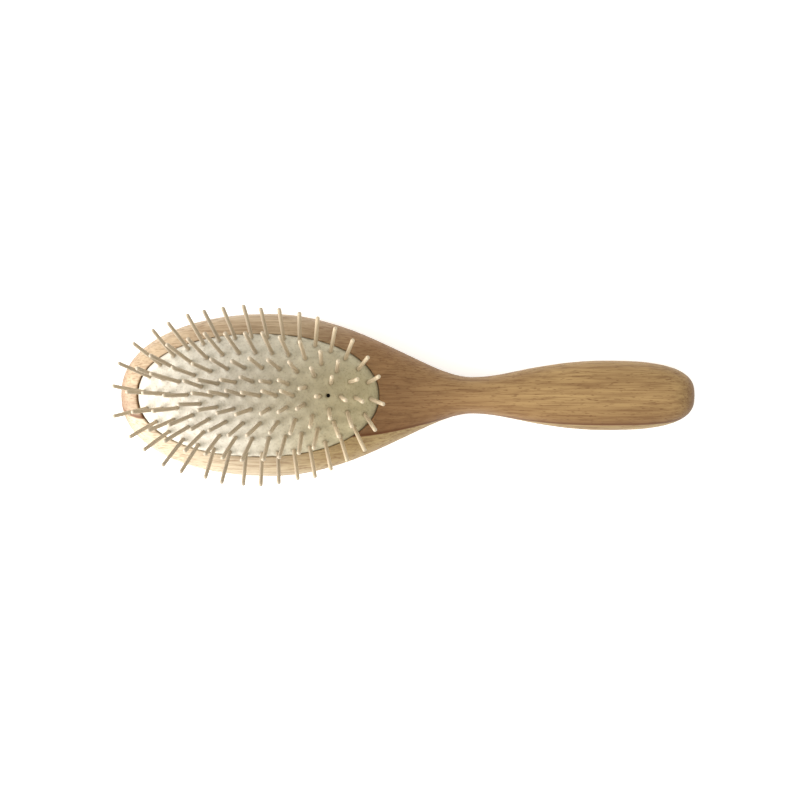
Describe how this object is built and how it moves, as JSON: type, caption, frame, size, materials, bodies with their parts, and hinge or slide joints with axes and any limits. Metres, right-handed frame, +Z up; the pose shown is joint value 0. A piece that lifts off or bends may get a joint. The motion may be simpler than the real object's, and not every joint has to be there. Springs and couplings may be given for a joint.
{
  "type": "cushion hairbrush",
  "caption": "Oval wooden hairbrush: waisted handle, domed rubber cushion over an air chamber, splayed wooden pins that sink when pressed.",
  "frame": {"origin": "on the ground under the middle of the brush as it lies on its back", "axes": "+X along the handle, away from the head; +Z up, the way the pins point; +Y across the head"},
  "size_m": [0.225, 0.0664, 0.047],
  "materials": {
    "body_wood": "oiled, satin, fine grain",
    "cushion_rubber": "matte natural latex",
    "pin_wood": "smooth, satin"
  },
  "bodies": {
    "brush_body": {"wooden_body": "body_wood", "rubber_cushion": "cushion_rubber"},
    "crown_pins": {"crown_pin_01": "pin_wood", "crown_pin_02": "pin_wood", "crown_pin_03": "pin_wood", "crown_pin_04": "pin_wood", "crown_pin_05": "pin_wood", "crown_pin_06": "pin_wood"},
    "fourth_pins": {"fourth_pin_01": "pin_wood", "fourth_pin_03": "pin_wood", "fourth_pin_05": "pin_wood", "fourth_pin_07": "pin_wood", "fourth_pin_09": "pin_wood", "fourth_pin_11": "pin_wood", "fourth_pin_13": "pin_wood", "fourth_pin_15": "pin_wood"},
    "third_pins": {"third_pin_01": "pin_wood", "third_pin_03": "pin_wood", "third_pin_05": "pin_wood", "third_pin_07": "pin_wood", "third_pin_09": "pin_wood", "third_pin_11": "pin_wood", "third_pin_13": "pin_wood", "third_pin_15": "pin_wood", "third_pin_17": "pin_wood", "third_pin_19": "pin_wood", "third_pin_21": "pin_wood"},
    "second_pins": {"second_pin_01": "pin_wood", "second_pin_03": "pin_wood", "second_pin_05": "pin_wood", "second_pin_07": "pin_wood", "second_pin_09": "pin_wood", "second_pin_11": "pin_wood", "second_pin_13": "pin_wood", "second_pin_15": "pin_wood", "second_pin_17": "pin_wood", "second_pin_19": "pin_wood", "second_pin_21": "pin_wood", "second_pin_23": "pin_wood", "second_pin_25": "pin_wood", "second_pin_27": "pin_wood"},
    "outer_pins": {"outer_pin_01": "pin_wood", "outer_pin_03": "pin_wood", "outer_pin_05": "pin_wood", "outer_pin_07": "pin_wood", "outer_pin_09": "pin_wood", "outer_pin_11": "pin_wood", "outer_pin_13": "pin_wood", "outer_pin_15": "pin_wood", "outer_pin_17": "pin_wood", "outer_pin_19": "pin_wood", "outer_pin_21": "pin_wood", "outer_pin_23": "pin_wood", "outer_pin_25": "pin_wood", "outer_pin_27": "pin_wood", "outer_pin_29": "pin_wood", "outer_pin_31": "pin_wood", "outer_pin_33": "pin_wood"}
  },
  "joints": [
    {"name": "cushion_press", "type": "slide", "parent": "brush_body", "child": "crown_pins", "axis": [0, 0, -1], "range_m": [0, 0.004], "stiffness_N_per_m": 1500, "deforming": ["rubber_cushion"]},
    {"name": "fourth_sink", "type": "slide", "parent": "brush_body", "child": "fourth_pins", "axis": [0, 0, -1], "range_m": [0, 0.00352]},
    {"name": "third_sink", "type": "slide", "parent": "brush_body", "child": "third_pins", "axis": [0, 0, -1], "range_m": [0, 0.00288]},
    {"name": "second_sink", "type": "slide", "parent": "brush_body", "child": "second_pins", "axis": [0, 0, -1], "range_m": [0, 0.002]},
    {"name": "outer_sink", "type": "slide", "parent": "brush_body", "child": "outer_pins", "axis": [0, 0, -1], "range_m": [0, 0.00088]}
  ],
  "couplings": [
    {"joint": "fourth_sink", "follows": "cushion_press", "ratio": 0.88},
    {"joint": "third_sink", "follows": "cushion_press", "ratio": 0.72},
    {"joint": "second_sink", "follows": "cushion_press", "ratio": 0.5},
    {"joint": "outer_sink", "follows": "cushion_press", "ratio": 0.22}
  ]
}
